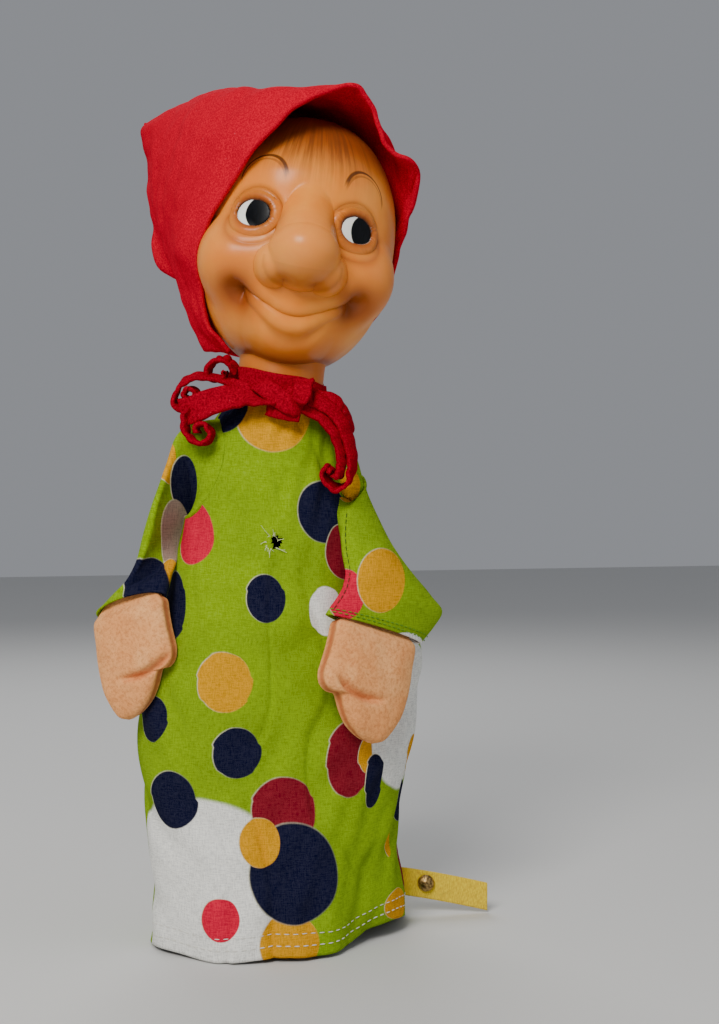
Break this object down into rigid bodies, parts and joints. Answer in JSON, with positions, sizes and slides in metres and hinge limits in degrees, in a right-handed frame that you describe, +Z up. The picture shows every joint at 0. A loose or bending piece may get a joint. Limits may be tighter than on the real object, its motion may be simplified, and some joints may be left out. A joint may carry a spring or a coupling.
{
  "type": "hand puppet",
  "caption": "Glove puppet with a hollow vinyl head under a felt kerchief, a printed cotton glove dress, mitten hands and a felt neck tie.",
  "frame": {"origin": "bottom middle of the puppet's bounding box, on the plane the hem stands on", "axes": "+Z up from hem to kerchief, -Y is the dress's front, +X is the puppet's left"},
  "size_m": [0.1568, 0.1116, 0.3065],
  "materials": {
    "cotton": "printed plain-weave cotton, matt",
    "vinyl": "soft vinyl, satin, painted",
    "felt": "wool felt, matt",
    "plush": "short velour plush",
    "card": "rolled grey card",
    "thread": "twisted cotton thread",
    "tape": "woven tape, slight sheen",
    "brass": "aged, satin"
  },
  "bodies": {
    "torso": {"dress_front": "cotton", "dress_back": "cotton"},
    "label_tab": {"side_label": "tape", "label_rivet": "brass", "rivet_washer": "brass"},
    "collar": {"dress_neck_gather": "cotton", "neck_cord": "thread", "tie_band": "felt", "tie_knot": "felt", "tie_front_strip": "felt", "tie_short_end": "felt", "tie_curl_right": "felt", "tie_loop_right": "felt", "tie_tail_right": "felt", "tie_loop_left": "felt", "tie_tail_left_inner": "felt", "tie_tail_left_outer": "felt"},
    "neck_tube": {"finger_tube": "card"},
    "head": {"head_shell": "vinyl", "kerchief": "felt"},
    "right_arm": {"right_sleeve_front": "cotton", "right_sleeve_back": "cotton"},
    "left_arm": {"left_sleeve_front": "cotton", "left_sleeve_back": "cotton"},
    "right_hand": {"right_hand_back": "plush", "right_hand_palm": "plush"},
    "left_hand": {"left_hand_back": "plush", "left_hand_palm": "plush"}
  },
  "joints": [
    {"name": "label_swing", "type": "hinge", "parent": "torso", "child": "label_tab", "pos_m": [0.04444, -0.00659, 0.0115], "axis": [0, 0, 1], "range_deg": [-40, 75]},
    {"name": "head_nod", "type": "hinge", "parent": "torso", "child": "collar", "pos_m": [-0.00776, -0.00659, 0.19], "axis": [1, 0, 0], "range_deg": [-15, 14], "deforming": ["dress_neck_gather", "tie_knot", "tie_front_strip", "tie_short_end", "tie_curl_right", "tie_loop_right", "tie_tail_right", "tie_loop_left", "tie_tail_left_inner", "tie_tail_left_outer"]},
    {"name": "head_tilt", "type": "hinge", "parent": "collar", "child": "neck_tube", "pos_m": [-0.00776, -0.00659, 0.198], "axis": [0, 1, 0], "range_deg": [-18, 4]},
    {"name": "head_turn", "type": "hinge", "parent": "neck_tube", "child": "head", "pos_m": [-0.00776, -0.00659, 0.198], "axis": [0.1219, 0, 0.9925], "range_deg": [-35, 45]},
    {"name": "right_arm_raise", "type": "hinge", "parent": "torso", "child": "right_arm", "pos_m": [-0.03476, -0.00659, 0.169], "axis": [0, 1, 0], "range_deg": [0, 70]},
    {"name": "left_arm_raise", "type": "hinge", "parent": "torso", "child": "left_arm", "pos_m": [0.01924, -0.00659, 0.169], "axis": [0, -1, 0], "range_deg": [0, 70]},
    {"name": "right_hand_fold", "type": "hinge", "parent": "right_arm", "child": "right_hand", "pos_m": [-0.06476, -0.01059, 0.121], "axis": [-0.6963, 0.6963, -0.1741], "range_deg": [0, 20]},
    {"name": "left_hand_fold", "type": "hinge", "parent": "left_arm", "child": "left_hand", "pos_m": [0.01574, -0.04184, 0.113], "axis": [0.9466, 0.1758, -0.2704], "range_deg": [-20, 5]}
  ]
}
